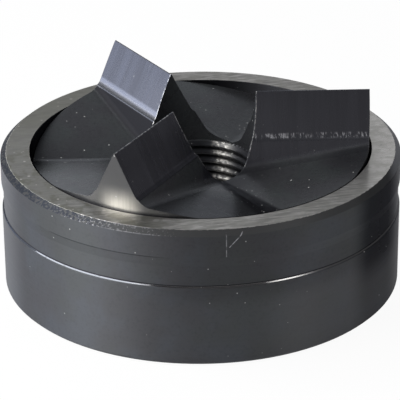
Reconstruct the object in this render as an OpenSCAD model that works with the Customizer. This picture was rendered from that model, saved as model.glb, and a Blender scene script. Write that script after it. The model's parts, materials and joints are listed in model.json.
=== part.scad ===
// Three-tooth knockout punch, standing teeth up in its cup-shaped die.
// The die is a turned cup. The punch is a turned blank whose gullets are milled between the teeth,
// and whose tooth flanks are then ground. The draw stud's thread is left as a plain bore.

/* [Punch] */
// Diameter of the hole that the punch cuts
punch_d = 59.3; // [52:0.1:76]
// Height from the punch's flat back to the tips of the teeth
punch_h = 28.7; // [26:0.1:34]
// Number of teeth
teeth = 3; // [3:1:4]
// Angle between the two flanks of a tooth
tooth_angle = 53; // [44:1:58]
// Width of the flat land along the tip of a tooth
tip_land = 0.2; // [0.1:0.1:1]
// Height of the gullets' valley lines above the punch's back
valley_h = 15.6; // [13:0.1:18]
// Angle at which a gullet's steeper floor rises from its valley line to the tooth on its clockwise side
steep_rise = 11.6; // [5:0.1:15]
// Angle at which the gullet's other floor rises
long_rise = 9.6; // [5:0.1:15]
// How far the valley line lies off the middle of the gullet, towards the steeper floor
valley_offset = 1.4; // [0:0.1:4]
// Radius of the fillet between a tooth's flank and the gullet's floor
gullet_r = 2.5; // [1.5:0.5:6]
// Half the width of the shallow hollow along a valley line
hollow_w = 0.5; // [0.2:0.1:0.6]
// Radius of that hollow
hollow_r = 5; // [4:0.5:20]
// Edge break round the punch's back
punch_break = 0.6; // [0.2:0.1:1.5]

/* [Ground flanks] */
// Depth of steel that is ground off a milled flank
grind_depth = 0.3; // [0.05:0.05:0.4]
// Height of the ground part of a flank, down from the tip
grind_h = 6.9; // [5:0.1:8]
// Corner radius of the grinding wheel, which ends the ground part
grind_r = 2; // [1:0.5:4]

/* [Draw stud] */
// Major diameter of the draw stud's thread
stud_d = 19.05; // [12:0.05:22]
// How far the plain counterbore between the teeth stands back from the thread's major diameter
counterbore_step = 0.2; // [0.1:0.05:3]
// Height of the thread's upper end above the punch's back
thread_h = 15.2; // [8:0.1:17]
// Radial clearance of the stud in the die's floor
stud_clearance = 0.5; // [0.2:0.1:1]

/* [Die] */
// Radial clearance between the punch and the die
clearance = 0.25; // [0.1:0.05:0.5]
// Thickness of the die's wall
die_wall = 5.35; // [3:0.05:10]
// Height of the die
die_h = 24.7; // [22:0.1:32]
// Thickness of the die's floor, on which the punch stands
die_floor = 6; // [3:0.1:10]
// Width of the chamfer round the die's rim
rim_chamfer_w = 1; // [0.3:0.1:2]
// Height of the chamfer round the die's rim
rim_chamfer_h = 0.85; // [0.3:0.05:2]
// Edge break round the die's base and the stud hole
base_break = 0.55; // [0.2:0.05:1.5]

/* [Marking band] */
// Depth of the recessed band round the die
band_depth = 0.3; // [0.1:0.05:0.8]
// Height of the band's lower ledge above the die's base
band_z = 14.6; // [8:0.1:16]
// Height of the band
band_h = 5.25; // [3:0.05:6]
// Height over which the band's upper end tapers out
band_taper = 1.6; // [0.4:0.1:2.5]

/* [Hidden] */
$fn = 128;

// Radii of the two turned pieces
punch_r = punch_d / 2;
bore_r = punch_r + clearance;
die_r = bore_r + die_wall;
stud_r = stud_d / 2;
stud_hole_r = stud_r + stud_clearance;
counterbore_r = stud_r + counterbore_step;

// Heights above the die's base
back_z = die_floor;
tip_z = back_z + punch_h;
valley_z = back_z + valley_h;
thread_z = back_z + thread_h;

// A tooth's flank leans by this angle from upright, and gullets lie this far round from a tooth
flank_lean = tooth_angle / 2;
half_pitch = 180 / teeth;

// Cutters reach past the blank by this much, and are this much fuller at their rounded corners,
// so that the round runs out into both edges
spare = 2;
reach = 2 * punch_r;
corner_fullness = 0.01;

// The milled flanks of a tooth would meet at this height
apex_z = tip_z + (tip_land / 2 + grind_depth / cos(flank_lean)) / tan(flank_lean);

function ray(angle, length) = length * [cos(angle), sin(angle)];

// A corner at the origin between two edges, filled from one edge's direction to the other's and
// rounded at its point
module rounded_corner(from, to, radius, size) {
    half = (to - from) / 2;
    tangent = radius / tan(half);
    polygon([
        ray(from, tangent), ray(from, size), ray(from, size) + ray(to, size), ray(to, size),
        ray(to, tangent)
    ]);
    translate(ray(from + half, radius / sin(half))) circle(radius + corner_fullness);
}

// Sweeps a profile of Y and Z along +X
module along_x(length) {
    rotate([90, 0, 90]) linear_extrude(length) children();
}

// What is milled off beside the flank on the +Y side of a tooth that points along +X. The floor beside
// the flank rises towards the tooth, and would be middle_z high on the punch's axis.
module beside_tooth(rise, middle_z) {
    flank_normal = [0, cos(flank_lean), sin(flank_lean)];
    floor_normal = [-sin(rise) * sin(half_pitch), sin(rise) * cos(half_pitch), cos(rise)];

    // The flank and the floor meet along this line, which climbs outwards
    root_line = cross(flank_normal, floor_normal);
    root_dir = root_line / norm(root_line);
    root_tilt = acos(root_dir.z);
    root_turn = atan2(root_dir.y, root_dir.x);

    // Where that line crosses X = 0
    floor_fall = tan(rise) * cos(half_pitch);
    root_y = tan(flank_lean) * (apex_z - middle_z) / (1 - tan(flank_lean) * floor_fall);
    root_z = middle_z - floor_fall * root_y;

    // Axes of a profile that is swept along the root line, and the normals' angles in that profile
    profile_x = [cos(root_tilt) * cos(root_turn), cos(root_tilt) * sin(root_turn), -sin(root_tilt)];
    profile_y = [-sin(root_turn), cos(root_turn), 0];
    flank_angle = atan2(flank_normal * profile_y, flank_normal * profile_x);
    floor_angle = atan2(floor_normal * profile_y, floor_normal * profile_x);

    translate([0, root_y, root_z]) rotate([0, root_tilt, root_turn])
        linear_extrude(2 * reach, center = true)
            rounded_corner(floor_angle - 90, flank_angle + 90, gullet_r, reach);
}

// The shallow hollow along a valley line that runs along +X, open upwards
module hollow() {
    hollow_edge = valley_z + hollow_w * tan((steep_rise + long_rise) / 2);
    hollow_axis = hollow_edge + sqrt(hollow_r ^ 2 - hollow_w ^ 2);
    along_x(reach) {
        translate([0, hollow_axis]) circle(hollow_r);
        translate([-reach, hollow_edge + hollow_w / 8]) square([2 * reach, reach]);
    }
}

// One gullet, between two teeth that stand half a pitch to each side of +X
module gullet() {
    intersection() {
        rotate(-half_pitch) beside_tooth(steep_rise, valley_z - valley_offset * tan(steep_rise));
        mirror([0, 1, 0]) rotate(-half_pitch)
            beside_tooth(long_rise, valley_z + valley_offset * tan(long_rise));
        translate([0, -valley_offset, 0]) hollow();
    }
}

// The path of the grinding wheel's square corner along the +Y flank of a tooth that points along +X
module flank_grind() {
    wheel_corner = grind_h + grind_r * cos(flank_lean);
    along_x(punch_r + spare)
        translate([tip_land / 2 + wheel_corner * tan(flank_lean), tip_z - wheel_corner])
            rounded_corner(flank_lean, 90 + flank_lean, grind_r, 2 * grind_r + grind_h);
}

// The turned blank: threaded through, counterbored from the toothed end
module punch_blank() {
    rotate_extrude() polygon([
        [stud_r + punch_break, back_z], [punch_r - punch_break, back_z],
        [punch_r, back_z + punch_break], [punch_r, tip_z],
        [counterbore_r, tip_z], [counterbore_r, thread_z + counterbore_step],
        [stud_r, thread_z], [stud_r, back_z + punch_break]
    ]);
}

// The cutting piece
module punch() {
    color("#55565e") difference() {
        punch_blank();
        for (i = [0 : teeth - 1]) rotate(i * 2 * half_pitch) {
            rotate(half_pitch) gullet();
            flank_grind();
            mirror([0, 1, 0]) flank_grind();
        }
    }
}

// The cup that the punch is drawn into
module die() {
    color("#3f434b") rotate_extrude() polygon([
        [stud_hole_r + base_break, 0], [die_r - base_break, 0], [die_r, base_break],
        [die_r, band_z - band_depth], [die_r - band_depth, band_z],
        [die_r - band_depth, band_z + band_h - band_taper], [die_r, band_z + band_h],
        [die_r, die_h - rim_chamfer_h], [die_r - rim_chamfer_w, die_h], [bore_r, die_h],
        [bore_r, die_floor], [stud_hole_r + base_break, die_floor],
        [stud_hole_r, die_floor - base_break], [stud_hole_r, base_break]
    ]);
}

die();
punch();
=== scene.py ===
"""Looks of a knockout punch that stands teeth up in its die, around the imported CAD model."""

import json
import math

import bpy
from mathutils import Matrix, Vector


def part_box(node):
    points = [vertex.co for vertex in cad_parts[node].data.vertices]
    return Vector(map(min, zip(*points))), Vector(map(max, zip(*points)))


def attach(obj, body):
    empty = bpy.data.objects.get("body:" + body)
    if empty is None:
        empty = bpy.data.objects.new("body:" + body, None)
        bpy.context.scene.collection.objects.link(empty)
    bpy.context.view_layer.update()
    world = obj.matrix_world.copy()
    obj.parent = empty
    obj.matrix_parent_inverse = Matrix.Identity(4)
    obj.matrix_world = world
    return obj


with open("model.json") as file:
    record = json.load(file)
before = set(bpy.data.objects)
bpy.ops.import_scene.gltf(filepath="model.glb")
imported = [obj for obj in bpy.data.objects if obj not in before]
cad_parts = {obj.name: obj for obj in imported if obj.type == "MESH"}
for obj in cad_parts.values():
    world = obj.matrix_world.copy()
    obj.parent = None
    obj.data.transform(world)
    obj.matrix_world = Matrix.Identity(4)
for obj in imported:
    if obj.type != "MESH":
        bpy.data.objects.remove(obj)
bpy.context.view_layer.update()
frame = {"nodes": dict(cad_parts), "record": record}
die = frame["nodes"]["die"]
punch = frame["nodes"]["punch"]
mounts = {mount["name"]: mount for mount in frame["record"]["mounts"]}

# Lengths are in metres in the scene, and in millimetres inside the materials
MM = 0.001

# Sizes in millimetres that the CAD model gives
DIE_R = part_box("die")[1].x / MM
DIE_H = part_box("die")[1].z / MM
TIP_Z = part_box("punch")[1].z / MM
PUNCH_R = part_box("punch")[1].y / MM
THREAD_R = mounts["stud_thread"]["dims"]["r_mm"]
THREAD_TOP = mounts["stud_thread"]["pos_m"][2] / MM
THREAD_LENGTH = mounts["stud_thread"]["dims"]["length_mm"]

# Sizes in millimetres of features that the boxes and mounts don't give
RIM_CHAMFER_W = 1.0
RIM_CHAMFER_H = 0.85
LEDGE_TOP = 14.6
LEDGE_DEPTH = 0.3
BAND_TOP = 19.9
COUNTERBORE_STEP = 0.2
COUNTERBORE_R = THREAD_R + COUNTERBORE_STEP
VALLEY_Z = 21.6
VALLEY_OFFSET = 1.4
GRIND_Z = TIP_Z - 6.9
GRIND_END_Z = TIP_Z - 7.85
TEETH = 3
HALF_PITCH = math.pi / TEETH

# Places in millimetres where a look begins or ends
WALL_R = DIE_R - 2
RIM_INNER_R = PUNCH_R + 0.5
WALL_MIDDLE_Z = 12
FRONT_GULLET_Y = -5
MARGIN = 0.05

# The draw stud's thread: its pitch and how far its foot is sunk, in millimetres, the turn of its lower
# end, and how many turns it runs on into the countersink
THREAD_PITCH = 25.4 / 16
THREAD_SUNK = 0.05
THREAD_TURN = math.radians(85)
THREAD_RUN_OUT = 0.4
THREAD_STEPS_PER_TURN = 72

# Half of the thread's section: heights from its middle in pitches, and how many millimetres it stands in
THREAD_HALF_SECTION = [(0.06, 0.76), (0.17, 0.62), (0.30, 0.34), (0.47, -THREAD_SUNK)]


class Value:
    """A number that varies over a surface. Arithmetic on it adds nodes to its graph."""

    def __init__(self, graph, socket):
        self.graph = graph
        self.socket = socket

    def math(self, operation, *others):
        node = self.graph.add("ShaderNodeMath", operation=operation)
        for socket, operand in zip(node.inputs, (self, *others)):
            self.graph.feed(socket, operand)
        return Value(self.graph, node.outputs[0])

    def __add__(self, other):
        return self.math("ADD", other)

    __radd__ = __add__

    def __sub__(self, other):
        return self.math("SUBTRACT", other)

    def __rsub__(self, other):
        return self * -1 + other

    def __mul__(self, other):
        return self.math("MULTIPLY", other)

    __rmul__ = __mul__

    def __truediv__(self, other):
        return self.math("DIVIDE", other)

    def __abs__(self):
        return self.math("ABSOLUTE")

    def most(self, other):
        return self.math("MAXIMUM", other)

    def least(self, other):
        return self.math("MINIMUM", other)

    def above(self, level, soft):
        """1 above the level and 0 below it, over a soft edge of that width."""
        node = self.graph.add("ShaderNodeMapRange", interpolation_type="SMOOTHSTEP")
        self.graph.feed(node.inputs["Value"], self)
        node.inputs["From Min"].default_value = level - soft / 2
        node.inputs["From Max"].default_value = level + soft / 2
        return Value(self.graph, node.outputs["Result"])

    def below(self, level, soft):
        return 1 - self.above(level, soft)

    def between(self, low, high, soft):
        return self.above(low, soft) * self.below(high, soft)

    def spread(self, low, high):
        """The value's range of 0 to 1 made to run from low to high."""
        return self * (high - low) + low


class Graph:
    """The nodes of one material or world."""

    def __init__(self, tree):
        self.tree = tree
        tree.nodes.clear()

    def add(self, kind, **settings):
        node = self.tree.nodes.new(kind)
        for name, setting in settings.items():
            setattr(node, name, setting)
        return node

    def feed(self, socket, source):
        """Sets a socket to a plain number or colour, or links it to a value or another socket."""
        if isinstance(source, Value):
            source = source.socket
        if isinstance(source, bpy.types.NodeSocket):
            self.tree.links.new(source, socket)
        else:
            socket.default_value = source

    def vector(self, x, y, z):
        node = self.add("ShaderNodeCombineXYZ")
        for socket, part in zip(node.inputs, (x, y, z)):
            self.feed(socket, part)
        return node.outputs[0]

    def noise(self, where, detail=3.0, roughness=0.55):
        """Noise of about 0 to 1 whose lumps are a unit apart."""
        node = self.add("ShaderNodeTexNoise")
        self.feed(node.inputs["Vector"], where)
        node.inputs["Scale"].default_value = 1
        node.inputs["Detail"].default_value = detail
        node.inputs["Roughness"].default_value = roughness
        return Value(self, node.outputs[0])

    def specks(self, where, size, share):
        """Round specks in a share of the cells of a grid of units. They have from about a third of that
        size to all of it, and fade at their edges."""
        node = self.add("ShaderNodeTexVoronoi")
        self.feed(node.inputs["Vector"], where)
        node.inputs["Scale"].default_value = 1
        chance = self.add("ShaderNodeSeparateColor")
        self.tree.links.new(node.outputs["Color"], chance.inputs[0])
        picked = Value(self, chance.outputs[0]).below(share, soft=0.001)
        reach = Value(self, chance.outputs[1]).spread(0.35 * size, size)
        return (Value(self, node.outputs["Distance"]) / reach).below(0.8, soft=0.4) * picked

    def mix(self, share, plain, other):
        """A colour that goes from plain to other as the share goes from 0 to 1."""
        node = self.add("ShaderNodeMix", data_type="RGBA")
        sockets = [socket for socket in node.inputs if socket.type == "RGBA"]
        self.feed(node.inputs[0], share)
        self.feed(sockets[0], rgba(plain))
        self.feed(sockets[1], rgba(other))
        return next(socket for socket in node.outputs if socket.type == "RGBA")


def rgba(colour):
    return (*colour, 1) if isinstance(colour, tuple) and len(colour) == 3 else colour


def blend(share, plain, other):
    """A value that goes from plain to other as the share goes from 0 to 1."""
    return share * (other - plain) + plain


# How all the metals are made: the oxide's share of metal, the edges' radius in millimetres and its
# samples, and the grain's turn
OXIDE_METALLIC = 0.55
EDGE_RADIUS = 0.12
EDGE_SAMPLES = 6
QUARTER_TURN = 0.25


class Surface(Graph):
    """A metal, with the places on it in millimetres."""

    def __init__(self, name):
        self.material = bpy.data.materials.new(name)
        self.material.use_nodes = True
        super().__init__(self.material.node_tree)
        place = self.add("ShaderNodeSeparateXYZ")
        self.tree.links.new(self.add("ShaderNodeTexCoord").outputs["Object"], place.inputs[0])
        self.x, self.y, self.z = (Value(self, socket) / MM for socket in place.outputs)
        self.r = (self.x * self.x + self.y * self.y).math("SQRT")
        self.azimuth = self.y.math("ARCTAN2", self.x)
        facing = self.add("ShaderNodeSeparateXYZ")
        self.tree.links.new(self.add("ShaderNodeNewGeometry").outputs["Normal"], facing.inputs[0])
        self.upward = Value(self, facing.outputs[2])

    def place(self, unit):
        """The place, counted in units of that many millimetres."""
        return self.vector(self.x / unit, self.y / unit, self.z / unit)

    def lumps(self, size, **settings):
        """Noise with lumps of about that size in millimetres."""
        return self.noise(self.place(size), **settings)

    def rings(self, height, length, **settings):
        """Noise drawn out around the axis, like turning marks."""
        where = self.vector(self.x / length, self.y / length, self.z / height)
        return self.noise(where, **settings)

    def scratch(self, start, end, width):
        """A thin straight line on the die's wall, from one azimuth in degrees and height to another."""
        u0, v0 = math.radians(start[0]) * DIE_R, start[1]
        u1, v1 = math.radians(end[0]) * DIE_R, end[1]
        length = math.hypot(u1 - u0, v1 - v0)
        du, dv = (u1 - u0) / length, (v1 - v0) / length
        u = self.azimuth * DIE_R - u0
        v = self.z - v0
        along = u * du + v * dv
        aside = abs(u * dv - v * du)
        return aside.below(width / 2, soft=width / 2) * along.between(0, length, soft=width)

    def finish(self, colour, bare, roughness, height, grain, straight, dust, edge_tint):
        """Makes the metal from its colour, the share of it that is bare, its roughness, and its relief
        in millimetres. Its grain draws highlights out across the turning marks, or across marks along X
        where they are straight. Dust on it is no metal."""
        edges = self.add("ShaderNodeBevel", samples=EDGE_SAMPLES)
        edges.inputs["Radius"].default_value = EDGE_RADIUS * MM
        bump = self.add("ShaderNodeBump")
        bump.inputs["Distance"].default_value = MM
        self.feed(bump.inputs["Height"], height)
        self.tree.links.new(edges.outputs[0], bump.inputs["Normal"])
        metal = self.add("ShaderNodeBsdfPrincipled")
        metal.inputs["Specular Tint"].default_value = edge_tint
        metal.inputs["Anisotropic"].default_value = grain
        metal.inputs["Anisotropic Rotation"].default_value = QUARTER_TURN
        self.feed(metal.inputs["Base Color"], colour)
        self.feed(metal.inputs["Metallic"], bare.spread(OXIDE_METALLIC, 1) * (1 - dust))
        self.feed(metal.inputs["Roughness"], roughness)
        self.tree.links.new(bump.outputs[0], metal.inputs["Normal"])
        around = self.add("ShaderNodeTangent", direction_type="RADIAL", axis="Z")
        marks = self.add("ShaderNodeMix", data_type="VECTOR")
        vectors = [socket for socket in marks.inputs if socket.type == "VECTOR"]
        sockets = [socket for socket in vectors if socket.name in "AB"]
        self.feed(marks.inputs[0], straight)
        self.tree.links.new(around.outputs[0], sockets[0])
        sockets[1].default_value = (1, 0, 0)
        run = next(socket for socket in marks.outputs if socket.type == "VECTOR")
        self.tree.links.new(run, metal.inputs["Tangent"])
        output = self.add("ShaderNodeOutputMaterial")
        self.tree.links.new(metal.outputs[0], output.inputs[0])
        return self.material


# Colours of the metals, as linear light
OXIDE = (0.080, 0.081, 0.087)
OXIDE_BLUE = (0.086, 0.092, 0.103)
OXIDE_GREEN = (0.078, 0.083, 0.083)
OXIDE_BLACK = (0.012, 0.012, 0.015)
PAINTED_LIGHT_OXIDE = (0.17, 0.173, 0.182)
PAINTED_LOW_LIGHT_OXIDE = (0.14, 0.141, 0.147)
MILLED_PAINTED_SHADE = (0.017, 0.017, 0.019)
RAMP = (0.062, 0.063, 0.068)
RAMP_GREEN = (0.066, 0.072, 0.074)
CHAMFER_BLUE = (0.030, 0.034, 0.044)
CHAMFER_WORN = (0.070, 0.071, 0.072)
CHIP = (0.40, 0.40, 0.42)
RIM_LIGHT = (0.90, 0.875, 0.825)
RIM_DARK = (0.50, 0.488, 0.455)
RIM_GREEN = (0.56, 0.555, 0.50)
RIM_BRIGHT = (0.95, 0.91, 0.86)
RIM_LEFT = (0.48, 0.475, 0.44)
RIM_STAIN = (0.36, 0.355, 0.29)
FLANK_LIGHT = (0.128, 0.130, 0.145)
FLANK_DARK = (0.090, 0.091, 0.102)
GRIND_BAND_HIGHLIGHT = (0.22, 0.225, 0.252)
GRIND_CORNER = (0.10, 0.102, 0.112)
GRIND_END = (0.60, 0.60, 0.62)
OUTER_FACE = (0.105, 0.105, 0.107)
OUTER_HIGHLIGHT = (0.465, 0.449, 0.416)
BARE_STEEL = (0.62, 0.61, 0.59)
LEDGE_STEEL = (0.25, 0.245, 0.24)
LEDGE_BLUE = (0.10, 0.105, 0.118)
THREAD_STEEL = (0.32, 0.31, 0.29)
THREAD_PAINTED_LIGHT = (0.15, 0.147, 0.14)
DUST = (0.34, 0.34, 0.33)
DIE_EDGE_TINT = (0.3, 0.3, 0.31, 1)
PUNCH_EDGE_TINT = (0.55, 0.56, 0.58, 1)

# Roughness where a metal's own is replaced
LEDGE_ROUGHNESS = 0.13
MILLED_ROUGHNESS = 0.5
THREAD_ROUGHNESS = 0.42
WEDGE_ROUGHNESS = 0.45

# Lines scratched on the die's wall, the faint one first, by azimuth in degrees and height in millimetres
SCRATCHES = [((-84.75, 24.3), (-84.75, 20.1)), ((-83.95, 21.8), (-80.2, 24.3))]
SCRATCH_WIDTH = 0.14

# Angles of the middle of the rim's painted reflection, and of the painted highlights on the outer face
# past the middles of the teeth
RIM_REFLECTION_AZIMUTH = math.radians(-118.4)
HIGHLIGHT_OFFSET = 0.03

# Cells in millimetres that each hold one speck at most
DUST_CELL = 1.5
NICK_CELL = 1.3
PIT_CELL = 0.8


def die_oxide(s, fine):
    """The die's oxide, bluish and greenish in patches, with painted light and painted shade in broad
    places, and the share of it that is black painted shade.
    """
    colour = s.mix(s.lumps(9.0, detail=4.0).above(0.52, soft=0.25), OXIDE, OXIDE_BLUE)
    colour = s.mix(s.lumps(14.0).above(0.55, soft=0.2) * 0.7, colour, OXIDE_GREEN)
    colour = s.mix(fine.above(0.62, soft=0.3) * 0.15, colour, OXIDE_BLACK)

    # Painted highlights make the wall's ends pale, and its front has painted light in one broad place
    # and painted shade in others
    ends = (s.x.below(-32.8, soft=4.5) * 0.85).most(s.x.above(33.6, soft=2.4) * 0.5)
    broad_painted_light = s.x.between(-22, -11, soft=8) * 0.11
    colour = s.mix(ends.most(broad_painted_light), colour, PAINTED_LIGHT_OXIDE)
    broad_painted_shade = (s.x.between(-29.5, -24, soft=4) * 0.12).most(s.x.between(-4, 27, soft=8) * 0.08)
    colour = s.mix(broad_painted_shade, colour, OXIDE_BLACK)
    # Painted light low on the wall's right, and painted shade high on its front
    low_right_painted_light = s.z.below(WALL_MIDDLE_Z, soft=4) * s.x.above(12, soft=10)
    colour = s.mix(low_right_painted_light * 0.36, colour, PAINTED_LOW_LIGHT_OXIDE)
    upper_front_painted_shade = s.z.above(WALL_MIDDLE_Z, soft=4) * s.x.between(-6, 14, soft=10)
    colour = s.mix(upper_front_painted_shade * 0.25, colour, OXIDE_BLACK)

    # Painted shade: nearly black near the wall's right end, more so higher up, and in the bore, less so
    # at its back
    dark_end_painted_shade = s.x.between(26.2, 33.4, soft=4) * s.y.below(-5, soft=9)
    dark_end_painted_shade = dark_end_painted_shade * s.z.above(9.5, soft=6).spread(0.30, 0.68)
    back = s.y.above(4, soft=8) * s.x.above(8, soft=12).spread(0.2, 0.5)
    bore = s.r.below(RIM_INNER_R + MARGIN, soft=0.1)
    black = dark_end_painted_shade.most(bore * (1 - back))
    return s.mix(black, colour, OXIDE_BLACK), black


def band_seam(s, colour, on_wall):
    """A faint dark line where the marking band ends, in places on the left."""
    seam = s.z.between(BAND_TOP - 0.09, BAND_TOP + 0.09, soft=0.06) * on_wall
    seam = seam * s.lumps(3.0).above(0.42, soft=0.2) * s.x.between(-27, -8, soft=6)
    return s.mix(seam * 0.6, colour, OXIDE_BLACK)


def rim_chamfer(s, colour, fine, on_wall):
    """The rim's chamfer, dark blue on the left and like the wall on the right, with a painted highlight
    at its right end, and its bright chips.
    """
    chamfer = s.z.above(DIE_H - RIM_CHAMFER_H, soft=0.06) * on_wall
    blued = s.mix(s.lumps(0.5, detail=4.0).above(0.52, soft=0.1), CHAMFER_BLUE, CHAMFER_WORN)
    # Painted highlight: the chamfer pale at its right end
    plain = s.mix(s.x.above(32.5, soft=2), CHAMFER_WORN, PAINTED_LIGHT_OXIDE)
    colour = s.mix(chamfer, colour, s.mix(s.x.below(-17, soft=10), plain, blued))
    from_middle = abs(s.z - (DIE_H - RIM_CHAMFER_H / 2))
    near_edges = from_middle.above(RIM_CHAMFER_H * 0.42, soft=0.1)
    chips = s.lumps(0.35, detail=3.0).above(0.60, soft=0.06) * near_edges.spread(0.3, 1.0)
    chips = chips * s.x.between(-24, -7, soft=8)
    rubbed_edges = near_edges * fine.above(0.45, soft=0.2) * s.x.between(-16, -8, soft=5)
    chips = chips.most(rubbed_edges * 0.5) * chamfer
    return s.mix(chips, colour, CHIP), chips


def worn_ledge(s, colour, on_wall):
    """The ledge under the marking band, worn bright, with painted shade in the corner above it."""
    # Painted shade in the corner just above the ledge
    corner = s.z.between(LEDGE_TOP, LEDGE_TOP + 0.22, soft=0.06) * on_wall
    colour = s.mix(corner * 0.8, colour, OXIDE_BLACK)
    ledge = s.z.between(LEDGE_TOP - 0.6 * LEDGE_DEPTH, LEDGE_TOP + 0.02, soft=0.06) * on_wall
    ledge = ledge * s.lumps(1.1, detail=4.0).above(0.30, soft=0.2)
    ledge = ledge * s.x.below(17, soft=6).spread(0.3, 1.0)
    steel = s.mix(s.x.above(-8, soft=14), LEDGE_BLUE, LEDGE_STEEL)
    return s.mix(ledge, colour, steel), ledge


def ground_rim(s, colour):
    """The ground top face, with the stone's straight marks and its roughness. It ends raggedly at the
    chamfer."""
    ragged = s.lumps(0.8, detail=4.0).spread(-0.25, 0.25)
    rim = s.z.above(DIE_H - 0.03, soft=0.03)
    rim = rim * (s.r + ragged).below(DIE_R - RIM_CHAMFER_W, soft=0.15)
    rim = rim * s.r.above(RIM_INNER_R, soft=0.1)
    marks = s.noise(s.vector(s.x / 3.0, (s.y - s.x * 0.2) / 0.5, s.z), detail=4.0)
    # Painted highlight brightens the face's right part, and painted shade dims its left part
    right = s.x.above(29, soft=14)
    face = s.mix(marks.above(0.5, soft=0.4), RIM_LIGHT, RIM_DARK)
    face = s.mix(right * marks.above(0.47, soft=0.35), face, RIM_BRIGHT)
    face = s.mix(s.x.below(-20, soft=16) * 0.8, face, RIM_LEFT)

    # Greenish patches, and stains and nicks on the left, and a painted reflection of the front left
    # tooth's outer face
    face = s.mix(s.lumps(1.8, detail=4.0).above(0.5, soft=0.2) * 0.5, face, RIM_GREEN)
    stains = s.lumps(2.6, detail=4.0).above(0.53, soft=0.12)
    stains = stains * s.x.below(-6, soft=10) * s.y.below(0, soft=20)
    face = s.mix(stains * 0.6, face, RIM_STAIN)
    nicks = s.specks(s.vector(s.x / NICK_CELL, s.y / NICK_CELL, 0.0), size=0.32, share=0.4)
    face = s.mix(nicks * s.x.below(-9, soft=8), face, RIM_BRIGHT)
    # Painted reflection: the face brighter beside the front left tooth's outer face
    painted_reflection = abs(s.azimuth - RIM_REFLECTION_AZIMUTH).below(0.09, soft=0.14)
    face = s.mix(painted_reflection * 0.15, face, RIM_BRIGHT)
    left_back = s.x.below(-12, soft=12) * s.y.above(8, soft=10)
    face = s.mix(left_back * 0.4, face, RIM_STAIN)
    return s.mix(rim, colour, face), rim, marks, marks.spread(0.30, 0.42) - right * 0.1


def die_steel():
    """Black oxide over turned steel, with the rim's top face ground bare."""
    s = Surface("die_steel")
    turning = s.rings(height=0.35, length=30.0)
    fine = s.lumps(0.6)
    on_wall = s.r.above(WALL_R, soft=0.1)
    colour, black = die_oxide(s, fine)
    colour = band_seam(s, colour, on_wall)
    colour, chips = rim_chamfer(s, colour, fine, on_wall)
    colour, ledge = worn_ledge(s, colour, on_wall)
    colour, rim, marks, rim_roughness = ground_rim(s, colour)
    roughness = blend(ledge, turning.spread(0.50, 0.62), LEDGE_ROUGHNESS)
    roughness = blend(rim, roughness, rim_roughness)

    # Scratches, and specks of dust
    faint, clear = (s.scratch(start, end, SCRATCH_WIDTH) for start, end in SCRATCHES)
    lines = (faint * 0.6).most(clear) * on_wall * fine.above(0.45, soft=0.3)
    colour = s.mix(lines, colour, CHIP)
    dust = s.specks(s.place(DUST_CELL), size=0.11, share=0.33)
    colour = s.mix(dust, colour, DUST)

    return s.finish(
        colour,
        bare=rim.most(ledge).most(chips).most(black),
        roughness=roughness,
        height=turning * 0.006 + fine * 0.004 + marks * rim * 0.008,
        grain=0.9,
        straight=rim,
        dust=dust,
        edge_tint=DIE_EDGE_TINT,
    )


class PunchSurface(Surface):
    """The punch's metal, with places that count from its teeth and its valley lines."""

    def __init__(self, name):
        super().__init__(name)
        self.past_tooth = self.azimuth.math("WRAP", HALF_PITCH, -HALF_PITCH)
        past_gullet = (self.azimuth - HALF_PITCH).math("WRAP", HALF_PITCH, -HALF_PITCH)
        self.past_valley = past_gullet.math("SINE") * self.r + VALLEY_OFFSET
        self.front = self.y.below(0, soft=1)
        self.rear = self.y.above(0, soft=0.5)
        self.right = self.x.above(0, soft=1)
        self.left = 1 - self.right
        self.inside = self.r.above(COUNTERBORE_R + MARGIN, soft=0.05)
        self.inside = self.inside * self.r.below(PUNCH_R - MARGIN, soft=0.05)
        self.outer = self.r.above(PUNCH_R - MARGIN, soft=0.05)


def gullet_floors(s, fine):
    """The oxide of the gullets' floors and fillets, with painted shade in places, and the milled steel
    of the rear flanks, which painted shade makes nearly black."""
    colour = s.mix(s.lumps(6.0, detail=4.0).above(0.52, soft=0.3), RAMP, RAMP_GREEN)
    colour = s.mix(fine.above(0.60, soft=0.3) * 0.3, colour, OXIDE_BLACK)
    roughness = s.lumps(2.0).spread(0.22, 0.34)
    # Painted shade on the front fillets
    fillet_shade = s.upward.above(0.78, soft=0.2) * s.upward.below(0.962, soft=0.02) * s.inside
    colour = s.mix(fillet_shade * s.front * 0.33, colour, OXIDE_BLACK)
    # Painted shade towards the outer end of the floor beside the front right tooth
    right_end_shade = s.r.above(23, soft=7) * abs(s.past_tooth).below(0.45, soft=0.35)
    right_end_shade = right_end_shade * s.upward.above(0.7, soft=0.2) * s.right * s.front
    colour = s.mix(right_end_shade * 0.55, colour, OXIDE_BLACK)
    # Painted shade on the left floor, most near its valley, and on the rear right floor
    left_floor_shade = s.y.above(-0.8, soft=1.5) * s.x.below(-6, soft=4)
    left_floor_shade = left_floor_shade * s.y.below(6, soft=18).spread(0.10, 0.36)
    right_floor_shade = s.rear * s.x.above(4, soft=8) * 0.32
    colour = s.mix(left_floor_shade + right_floor_shade, colour, OXIDE_BLACK)
    # Painted shade makes the rear flanks' milled steel nearly black
    milled = s.upward.below(0.85, soft=0.25) * s.inside * s.rear
    colour = s.mix(milled, colour, MILLED_PAINTED_SHADE)
    return colour, blend(milled, roughness, MILLED_ROUGHNESS), milled


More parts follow.
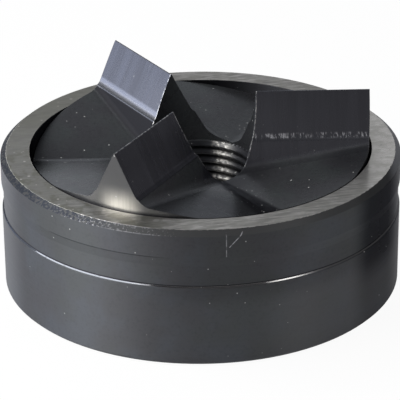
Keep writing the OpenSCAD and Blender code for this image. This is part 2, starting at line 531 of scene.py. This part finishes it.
def ground_flanks(s, colour, roughness):
    """The ground flanks, with marks that run down from the tip. They end in a band of painted highlight
    on the rear teeth's counter-clockwise sides, and in short scratches on each tooth's clockwise side."""
    along = s.r * abs(s.past_tooth).math("COSINE")
    side = (s.azimuth / HALF_PITCH).math("FLOOR") * 17.3
    marks = s.noise(s.vector(along / 0.9, side, s.z / 12.0), detail=3.0)
    streaks = s.noise(s.vector(along / 2.2, side, s.z / 40.0), detail=1.0)
    marks = marks * 0.55 + streaks * 0.45

    # The right tooth's front flank has the same look all the way down
    upper = s.z.above(GRIND_END_Z, soft=0.2) * s.inside
    ground = upper.most(s.upward.below(0.65, soft=0.25) * s.inside * s.right * s.front)
    colour = s.mix(ground, colour, s.mix(marks.above(0.5, soft=0.5), FLANK_LIGHT, FLANK_DARK))
    # Painted shade on the top of the front left tooth's ground flank
    front_tip_shade = ground * s.front * s.left * s.z.above(TIP_Z - 4, soft=3)
    colour = s.mix(front_tip_shade * 0.15, colour, OXIDE_BLACK)

    # The step that the wheel's corner leaves, with painted shade on it at the front left, and the band
    # of painted highlight above it
    banded = s.past_tooth.above(0, soft=0.01) * s.rear
    step = s.z.below(GRIND_Z - 0.35, soft=0.35) * upper
    colour = s.mix(step * banded, colour, GRIND_CORNER)
    colour = s.mix(step * s.left * s.front * 0.6, colour, OXIDE_BLACK)
    # Painted highlight: a bright band at the wheel's corner
    band = s.z.between(GRIND_Z - 0.3, GRIND_Z + 0.5, soft=0.5) * s.inside * banded
    colour = s.mix(band * marks.spread(1.1, 0.8).least(1.0), colour, GRIND_BAND_HIGHLIGHT)

    ends = s.noise(s.vector(along / 0.28, side, s.z / 0.8), detail=2.0).above(0.57, soft=0.14)
    ends = ends * s.z.between(GRIND_Z - 0.45, GRIND_Z + 0.30, soft=0.3) * s.inside
    ends = ends * s.lumps(1.6).above(0.42, soft=0.25) * s.past_tooth.below(0, soft=0.01)
    colour = s.mix(ends, colour, GRIND_END)
    return colour, blend(ground, roughness, marks.spread(0.20, 0.34)), ground, marks, ends


def outer_face(s, colour, roughness):
    """The outer face, ground round, with streaks where the die wears it, and a painted highlight low
    down past the middle of each tooth.
    """
    rub_and_highlight_streaks = s.noise(s.vector(s.azimuth * PUNCH_R / 0.4, 0.0, s.z / 8.0))
    # Painted highlight on the outer face, low down and just past the middle of each tooth
    glow = s.z.below(DIE_H + 2.4, soft=4.5) * abs(s.past_tooth - HIGHLIGHT_OFFSET).below(0.09, soft=0.14)
    face = s.mix((glow * rub_and_highlight_streaks.spread(0.6, 1.3)).least(1.0), OUTER_FACE, OUTER_HIGHLIGHT)
    return s.mix(s.outer, colour, face), blend(s.outer, roughness, rub_and_highlight_streaks.spread(0.36, 0.50))


def worn_edges(s, colour):
    """The front tooth's tip and the teeth's inner edges, worn bright in places."""
    tip = s.z.above(TIP_Z - 0.05, soft=0.04) * s.y.below(-2, soft=1)
    inner_edge = s.r.between(COUNTERBORE_R + MARGIN, COUNTERBORE_R + 0.19, soft=0.04)
    inner_edge = inner_edge * s.z.above(VALLEY_Z + 3, soft=0.5)
    worn = (tip * 0.5).most(inner_edge) * s.lumps(0.55, detail=4.0).above(0.50, soft=0.15)
    return s.mix(worn, colour, BARE_STEEL), worn


def thread_wear(s, colour, roughness):
    """The bore, darkened with painted shade. On the right the thread has painted light, and in a narrow
    strip there its crests and upper end are bright steel, partly wear from the stud and partly painted
    highlight."""
    in_bore = s.r.below(THREAD_R + MARGIN, soft=0.04)
    # Painted shade darkens the bore, and painted light makes the thread paler on the right
    colour = s.mix(in_bore * 0.75, colour, OXIDE_BLACK)
    colour = s.mix(in_bore * s.x.between(3.2, 6.0, soft=2) * 0.45, colour, THREAD_PAINTED_LIGHT)
    crests = s.r.below(THREAD_R - 0.2, soft=0.2)
    lead_in = s.r.below(COUNTERBORE_R + MARGIN, soft=0.04)
    lead_in = lead_in * s.z.between(THREAD_TOP - 0.1, THREAD_TOP + 0.22, soft=0.08)
    # Bright steel on the crests and upper end, worn by the stud, kept to a narrow strip as a painted
    # highlight
    rubbed_and_highlight = crests.most(lead_in) * s.lumps(0.7, detail=3.0).above(0.50, soft=0.2)
    rubbed_and_highlight = rubbed_and_highlight * s.x.between(2.6, 5.2, soft=1.6)
    colour = s.mix(rubbed_and_highlight, colour, THREAD_STEEL)
    return colour, blend(in_bore, roughness, THREAD_ROUGHNESS), rubbed_and_highlight


def front_gullet(s, colour, roughness):
    """A dark wedge along the front valley, painted shade towards the bore, and painted shade on the
    floor left of the valley.
    """
    in_gullet = s.y.below(FRONT_GULLET_Y, soft=3)
    # Painted shade on the floor left of the front valley
    ramp_shade = s.r.above(16, soft=6) * s.past_valley.below(-1, soft=2) * in_gullet
    ramp_shade = ramp_shade * s.upward.above(0.92, soft=0.1) * (1 - s.outer)
    colour = s.mix(ramp_shade * 0.33, colour, OXIDE_BLACK)
    # A dark wedge along the front valley that widens outwards
    dark_wedge_and_shade = (s.past_valley + s.r * 0.11).above(0, soft=1.4)
    dark_wedge_and_shade = dark_wedge_and_shade * (s.past_valley - s.r * 0.09 + 0.4).below(0, soft=0.9)
    # Painted shade on the front floors near the bore
    near_bore_shade = s.r.below(14, soft=6) * s.past_valley.above(-1.5, soft=2)
    dark_wedge_and_shade = dark_wedge_and_shade.most(near_bore_shade * 0.4) * s.z.below(VALLEY_Z + 2.5, soft=1.0) * in_gullet
    dark_wedge_and_shade = dark_wedge_and_shade * s.lumps(1.2, detail=3.0).spread(0.5, 1.1)
    colour = s.mix(dark_wedge_and_shade, colour, OXIDE_BLACK)
    return colour, blend(dark_wedge_and_shade, roughness, WEDGE_ROUGHNESS), dark_wedge_and_shade, ramp_shade


def pits_and_dust(s, dark_wedge_and_shade, ground):
    """Pits along the valley lines, in the dark wedge and in the shaded place by the bore, and specks of
    dust, fewer on the ground flanks.
    """
    pits = s.specks(s.place(PIT_CELL), size=0.28, share=0.6)
    pits = pits * abs(s.past_valley).below(1.8, soft=1.6).most(dark_wedge_and_shade)
    pits = pits * s.z.below(VALLEY_Z + 1.5, soft=0.5)
    dust = s.specks(s.place(DUST_CELL), size=0.13, share=0.35).most(pits * 0.8)
    return dust * (1 - ground * 0.6)


def punch_steel():
    """Black oxide over milled steel, with ground tooth flanks and a bare outer face."""
    s = PunchSurface("punch_steel")
    fine = s.lumps(0.5)
    colour, roughness, milled = gullet_floors(s, fine)
    colour, roughness, ground, marks, ends = ground_flanks(s, colour, roughness)
    colour, roughness = outer_face(s, colour, roughness)
    colour, worn = worn_edges(s, colour)
    colour, roughness, rubbed_and_highlight = thread_wear(s, colour, roughness)
    colour, roughness, dark_wedge_and_shade, ramp_shade = front_gullet(s, colour, roughness)
    dust = pits_and_dust(s, dark_wedge_and_shade, ground)
    colour = s.mix(dust, colour, DUST)
    bare = ground.most(s.outer).most(worn).most(rubbed_and_highlight).most(milled)
    bare = bare.most(dark_wedge_and_shade * 0.7).most(ramp_shade * 0.45)
    return s.finish(
        colour,
        bare=bare,
        roughness=roughness,
        height=fine * 0.004 + marks * ground * 0.006 + ends * 0.01,
        grain=0.6,
        straight=0.0,
        dust=dust,
        edge_tint=PUNCH_EDGE_TINT,
    )


def thread_ridge():
    """The draw stud's thread: one ridge that winds up the punch's bore, and is cut by a countersink."""
    lower_half = [(-height, depth) for height, depth in reversed(THREAD_HALF_SECTION)]
    section = [
        (height * THREAD_PITCH, THREAD_R - depth) for height, depth in lower_half + THREAD_HALF_SECTION
    ]
    bottom = THREAD_TOP - THREAD_LENGTH + THREAD_PITCH / 2
    turns = (THREAD_LENGTH - THREAD_PITCH) / THREAD_PITCH + THREAD_RUN_OUT
    steps = round(turns * THREAD_STEPS_PER_TURN)
    points = []
    faces = []
    for step in range(steps + 1):
        angle = 2 * math.pi * step / THREAD_STEPS_PER_TURN - THREAD_TURN
        middle = bottom + THREAD_PITCH * step / THREAD_STEPS_PER_TURN
        for height, radius in section:
            z = middle + height
            countersink = COUNTERBORE_R - (THREAD_TOP + COUNTERBORE_STEP - z)
            cut = min(max(radius, countersink), COUNTERBORE_R + THREAD_SUNK)
            points.append((cut * math.cos(angle) * MM, cut * math.sin(angle) * MM, z * MM))
    count = len(section)
    for step in range(steps):
        for corner in range(count):
            here = step * count + corner
            beside = step * count + (corner + 1) % count
            faces.append((here, beside, beside + count, here + count))
    faces.append(tuple(reversed(range(count))))
    faces.append(tuple(steps * count + corner for corner in range(count)))
    mesh = bpy.data.meshes.new("stud_thread")
    mesh.from_pydata(points, [], faces)
    mesh.polygons.foreach_set("use_smooth", [True] * len(faces))
    ridge = bpy.data.objects.new("stud_thread", mesh)
    bpy.context.scene.collection.objects.link(ridge)
    return ridge


die.data.materials.clear()
die.data.materials.append(die_steel())
punch_metal = punch_steel()
punch.data.materials.clear()
punch.data.materials.append(punch_metal)
thread = thread_ridge()
thread.data.materials.append(punch_metal)
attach(thread, "root")

# The camera, as fitted to the photograph: its field is narrow, and it leans by half a degree
IMAGE_PIXELS = 400
FOCAL_PIXELS = 2326
SENSOR_WIDTH = 36
CLIP_START = 0.01
CLIP_END = 20
CAMERA_DISTANCE = 414.4 * MM
CAMERA_TARGET = Vector((-0.17, 0, 13.95)) * MM
CAMERA_AZIMUTH = -91.4
CAMERA_ELEVATION = 25.25
CAMERA_ROLL = math.radians(-0.54)


def stand(thing, target, azimuth, elevation, distance, roll=0.0):
    """Places a thing away from the target, in a direction in degrees, so that it looks at the target."""
    turn, rise = math.radians(azimuth), math.radians(elevation)
    away = Vector((math.cos(turn) * math.cos(rise), math.sin(turn) * math.cos(rise), math.sin(rise)))
    look = away.to_track_quat("Z", "Y").to_matrix().to_4x4() @ Matrix.Rotation(roll, 4, "Z")
    thing.matrix_world = Matrix.Translation(target + away * distance) @ look


def camera():
    data = bpy.data.cameras.new("camera")
    data.sensor_width = SENSOR_WIDTH
    data.lens = SENSOR_WIDTH * FOCAL_PIXELS / IMAGE_PIXELS
    data.clip_start = CLIP_START
    data.clip_end = CLIP_END
    eye = bpy.data.objects.new("camera", data)
    bpy.context.scene.collection.objects.link(eye)
    stand(eye, CAMERA_TARGET, CAMERA_AZIMUTH, CAMERA_ELEVATION, CAMERA_DISTANCE, CAMERA_ROLL)
    bpy.context.scene.camera = eye


# Soft boxes: the direction in degrees and the distance they stand at, their width and height, and their
# brightness
SOFT_BOXES = {
    "left_box": {
        "azimuth": 190,
        "elevation": 42,
        "distance": 0.5,
        "size": (0.50, 0.36),
        "radiance": 6.6,
    },
    "right_box": {
        "azimuth": -25,
        "elevation": 52,
        "distance": 0.6,
        "size": (0.20, 0.14),
        "radiance": 4.4,
    },
}


def soft_box(name, azimuth, elevation, distance, size, radiance):
    data = bpy.data.lights.new(name, "AREA")
    data.shape = "RECTANGLE"
    data.size, data.size_y = size
    data.energy = radiance * math.pi * size[0] * size[1]
    lamp = bpy.data.objects.new(name, data)
    bpy.context.scene.collection.objects.link(lamp)
    stand(lamp, Vector(), azimuth, elevation, distance)
    lamp.visible_camera = False


# The walls round the set, by azimuth in degrees
BRIGHT_AZIMUTH = 140
LOW_GLOW_AZIMUTH = 160
BRIGHT_WALL = (0.92, 0.95, 1.0)
DIM_WALL = (0.21, 0.205, 0.215)
LOW_GLOW = (1.55, 1.70, 2.10)
CEILING = (0.12, 0.12, 0.13)


def studio_walls():
    """The world: walls that are brightest at the left and the back, with a glow low on the left, under a
    darker ceiling."""
    world = bpy.data.worlds.new("studio")
    world.use_nodes = True
    bpy.context.scene.world = world
    g = Graph(world.node_tree)
    direction = g.add("ShaderNodeSeparateXYZ")
    g.tree.links.new(g.add("ShaderNodeTexCoord").outputs["Generated"], direction.inputs[0])
    x, y, z = (Value(g, socket) for socket in direction.outputs)

    def towards(azimuth):
        turn = math.radians(azimuth)
        return x * math.cos(turn) + y * math.sin(turn)

    walls = g.mix(towards(BRIGHT_AZIMUTH).above(0.2, soft=1.6), DIM_WALL, BRIGHT_WALL)
    low_glow = towards(LOW_GLOW_AZIMUTH).above(0.85, soft=0.3) * z.below(0.3, soft=0.3)
    walls = g.mix(low_glow, walls, LOW_GLOW)
    background = g.add("ShaderNodeBackground")
    g.feed(background.inputs["Color"], g.mix(z.above(0.62, soft=0.5), walls, CEILING))
    g.tree.links.new(background.outputs[0], g.add("ShaderNodeOutputWorld").inputs[0])


FLOOR_REACH = 3.0
FLOOR_PAINT = (0.82, 0.82, 0.82)
FLOOR_WHITE = (1.0, 1.0, 1.0)
FLOOR_GLOW = 0.94


def pale_floor():
    """A plain white floor. The camera and the metal see its glow, which lights nothing else."""
    material = bpy.data.materials.new("floor")
    material.use_nodes = True
    g = Graph(material.node_tree)
    path = g.add("ShaderNodeLightPath")
    camera_ray = Value(g, path.outputs["Is Camera Ray"])
    glossy_ray = Value(g, path.outputs["Is Glossy Ray"])
    transmission_ray = Value(g, path.outputs["Is Transmission Ray"])
    seen = camera_ray.most(glossy_ray).most(transmission_ray)
    paint = g.add("ShaderNodeBsdfDiffuse")
    paint.inputs["Color"].default_value = rgba(FLOOR_PAINT)
    glow = g.add("ShaderNodeEmission")
    glow.inputs["Color"].default_value = rgba(FLOOR_WHITE)
    both = g.add("ShaderNodeMixShader")
    g.feed(both.inputs[0], seen * FLOOR_GLOW)
    g.tree.links.new(paint.outputs[0], both.inputs[1])
    g.tree.links.new(glow.outputs[0], both.inputs[2])
    g.tree.links.new(both.outputs[0], g.add("ShaderNodeOutputMaterial").inputs[0])
    mesh = bpy.data.meshes.new("floor")
    corners = [(-1, -1), (1, -1), (1, 1), (-1, 1)]
    mesh.from_pydata([(x * FLOOR_REACH, y * FLOOR_REACH, 0) for x, y in corners], [], [(0, 1, 2, 3)])
    mesh.materials.append(material)
    floor = bpy.data.objects.new("floor", mesh)
    bpy.context.scene.collection.objects.link(floor)


camera()
for box_name, box in SOFT_BOXES.items():
    soft_box(box_name, **box)
studio_walls()
pale_floor()
bpy.context.scene.view_settings.view_transform = "Standard"
